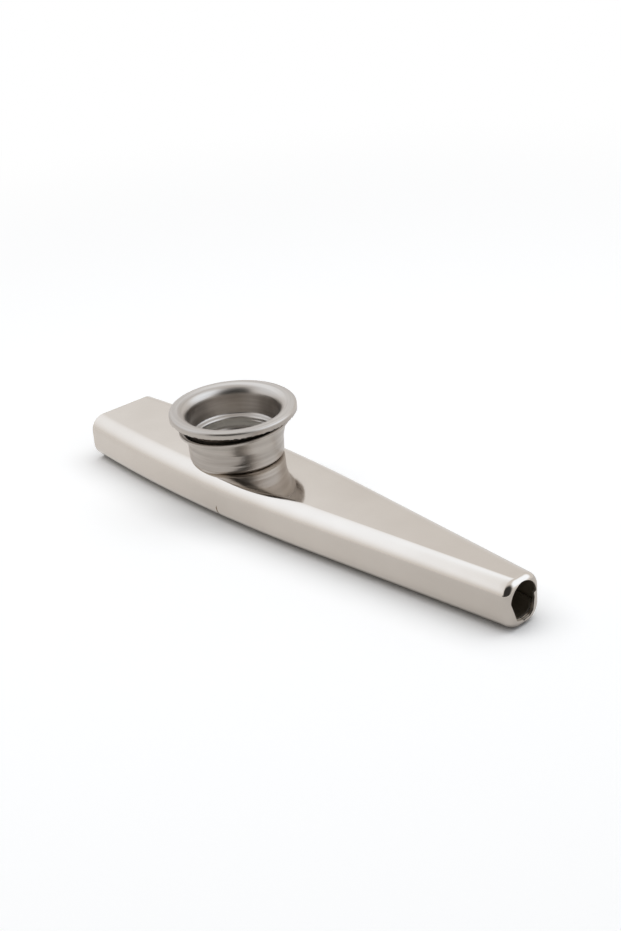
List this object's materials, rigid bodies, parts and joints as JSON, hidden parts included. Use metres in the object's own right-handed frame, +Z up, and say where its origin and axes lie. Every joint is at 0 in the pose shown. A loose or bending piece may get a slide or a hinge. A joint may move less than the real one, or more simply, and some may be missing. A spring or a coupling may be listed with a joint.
{
  "type": "kazoo",
  "caption": "Sheet-metal kazoo: boat-shaped body with a wide mouth end and a narrow outlet, and a threaded turret whose flanged screw cap clamps a buzzing membrane.",
  "frame": {"origin": "on the table, under the middle of the body's length", "axes": "+X from the mouth end to the outlet, +Z up along the turret, +Y across the body"},
  "size_m": [0.12, 0.0268, 0.0212],
  "materials": {
    "body_plate": "polished nickel-plated sheet",
    "turret_plate": "spun sheet with fine turning marks",
    "ring_card": "stiff white ring",
    "film": "thin translucent film"
  },
  "bodies": {
    "kazoo_body": {"top_shell": "body_plate", "bottom_tray": "body_plate", "turret_socket": "turret_plate"},
    "membrane": {"membrane_ring": "ring_card", "membrane_film": "film"},
    "cap": {"screw_cap": "turret_plate"}
  },
  "joints": [
    {"name": "cap_turn", "type": "hinge", "parent": "kazoo_body", "child": "membrane", "pos_m": [-0.019, 0, 0.0105], "axis": [0, 0, 1], "range_deg": [0, 450.01]},
    {"name": "cap_lift", "type": "slide", "parent": "membrane", "child": "cap", "axis": [0, 0, 1], "range_m": [0, 0.00281]}
  ],
  "couplings": [
    {"joint": "cap_turn", "follows": "cap_lift", "rad_per_m": 2792.5}
  ]
}
